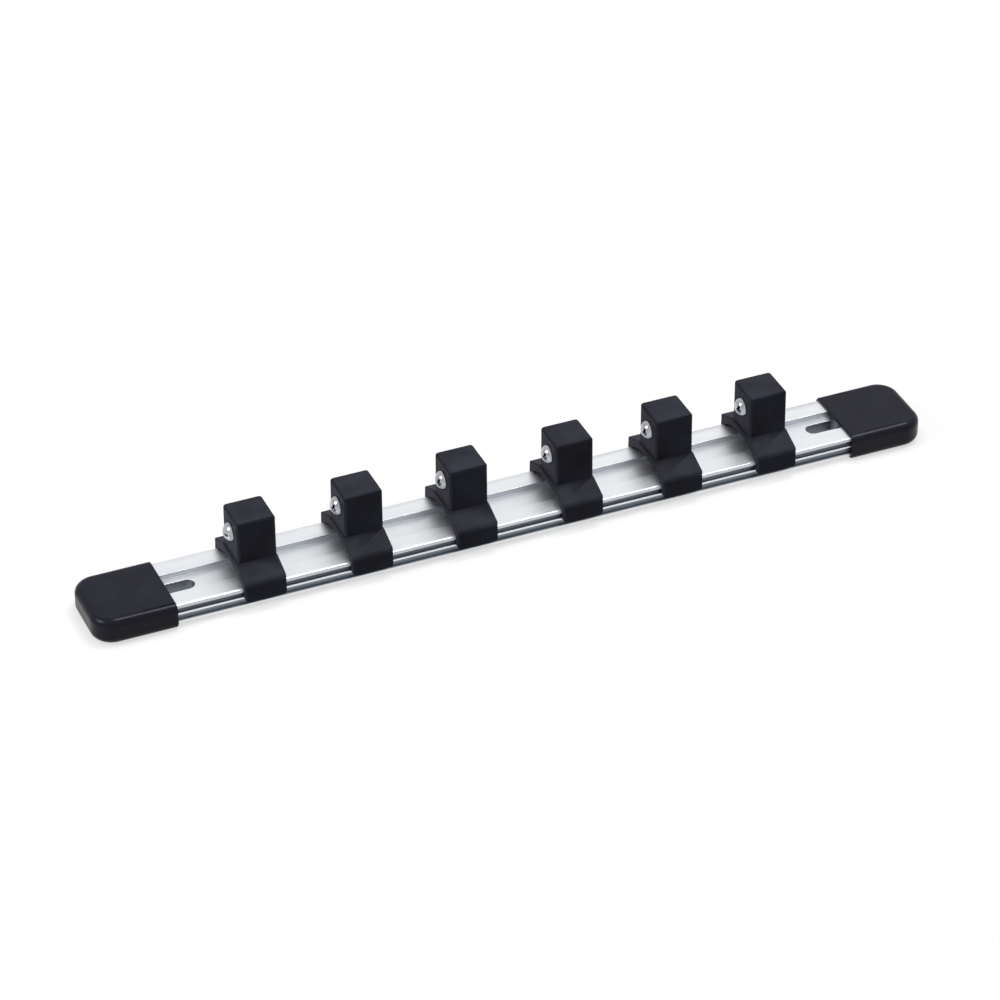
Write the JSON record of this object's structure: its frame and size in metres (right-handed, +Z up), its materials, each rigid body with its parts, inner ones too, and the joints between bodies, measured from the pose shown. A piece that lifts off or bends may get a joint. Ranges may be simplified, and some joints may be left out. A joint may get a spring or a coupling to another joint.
{
  "type": "socket holder rail",
  "caption": "Flat aluminium rail with capped ends and sliding black clips, each with a square drive post and a sprung steel ball that holds a socket.",
  "frame": {"origin": "middle of the rail's length and width, on the surface that the two end caps rest on", "axes": "+X along the rail, away from the side of the posts that the balls are on; +Y across the rail; +Z up the posts"},
  "size_m": [0.2776, 0.0278, 0.0278],
  "materials": {
    "rail_aluminium": "mill finish, finely brushed along the rail",
    "cap_vinyl": "glossy black dipped vinyl",
    "clip_plastic": "satin black moulded plastic, lightly textured",
    "ball_steel": "polished steel ball",
    "spring_steel": "plain spring wire"
  },
  "bodies": {
    "rail": {"rail": "rail_aluminium", "end_cap_left": "cap_vinyl", "end_cap_right": "cap_vinyl"},
    "clip_1": {"clip_1": "clip_plastic", "spring_1": "spring_steel"},
    "clip_2": {"clip_2": "clip_plastic", "spring_2": "spring_steel"},
    "clip_3": {"clip_3": "clip_plastic", "spring_3": "spring_steel"},
    "clip_4": {"clip_4": "clip_plastic", "spring_4": "spring_steel"},
    "clip_5": {"clip_5": "clip_plastic", "spring_5": "spring_steel"},
    "clip_6": {"clip_6": "clip_plastic", "spring_6": "spring_steel"},
    "ball_1": {"ball_1": "ball_steel"},
    "ball_2": {"ball_2": "ball_steel"},
    "ball_3": {"ball_3": "ball_steel"},
    "ball_4": {"ball_4": "ball_steel"},
    "ball_5": {"ball_5": "ball_steel"},
    "ball_6": {"ball_6": "ball_steel"}
  },
  "joints": [
    {"name": "clip_1_slide", "type": "slide", "parent": "rail", "child": "clip_1", "axis": [1, 0, 0], "range_m": [-0.021, 0.0098]},
    {"name": "clip_2_slide", "type": "slide", "parent": "rail", "child": "clip_2", "axis": [1, 0, 0], "range_m": [-0.0098, 0.0097]},
    {"name": "clip_3_slide", "type": "slide", "parent": "rail", "child": "clip_3", "axis": [1, 0, 0], "range_m": [-0.0097, 0.0101]},
    {"name": "clip_4_slide", "type": "slide", "parent": "rail", "child": "clip_4", "axis": [1, 0, 0], "range_m": [-0.0101, 0.0093]},
    {"name": "clip_5_slide", "type": "slide", "parent": "rail", "child": "clip_5", "axis": [1, 0, 0], "range_m": [-0.0093, 0.0086]},
    {"name": "clip_6_slide", "type": "slide", "parent": "rail", "child": "clip_6", "axis": [1, 0, 0], "range_m": [-0.0086, 0.0199]},
    {"name": "ball_1_press", "type": "slide", "parent": "clip_1", "child": "ball_1", "axis": [1, 0, 0], "range_m": [0, 0.0022], "stiffness_N_per_m": 1500, "deforming": ["spring_1"]},
    {"name": "ball_2_press", "type": "slide", "parent": "clip_2", "child": "ball_2", "axis": [1, 0, 0], "range_m": [0, 0.0022], "stiffness_N_per_m": 1500, "deforming": ["spring_2"]},
    {"name": "ball_3_press", "type": "slide", "parent": "clip_3", "child": "ball_3", "axis": [1, 0, 0], "range_m": [0, 0.0022], "stiffness_N_per_m": 1500, "deforming": ["spring_3"]},
    {"name": "ball_4_press", "type": "slide", "parent": "clip_4", "child": "ball_4", "axis": [1, 0, 0], "range_m": [0, 0.0022], "stiffness_N_per_m": 1500, "deforming": ["spring_4"]},
    {"name": "ball_5_press", "type": "slide", "parent": "clip_5", "child": "ball_5", "axis": [1, 0, 0], "range_m": [0, 0.0022], "stiffness_N_per_m": 1500, "deforming": ["spring_5"]},
    {"name": "ball_6_press", "type": "slide", "parent": "clip_6", "child": "ball_6", "axis": [1, 0, 0], "range_m": [0, 0.0022], "stiffness_N_per_m": 1500, "deforming": ["spring_6"]}
  ]
}
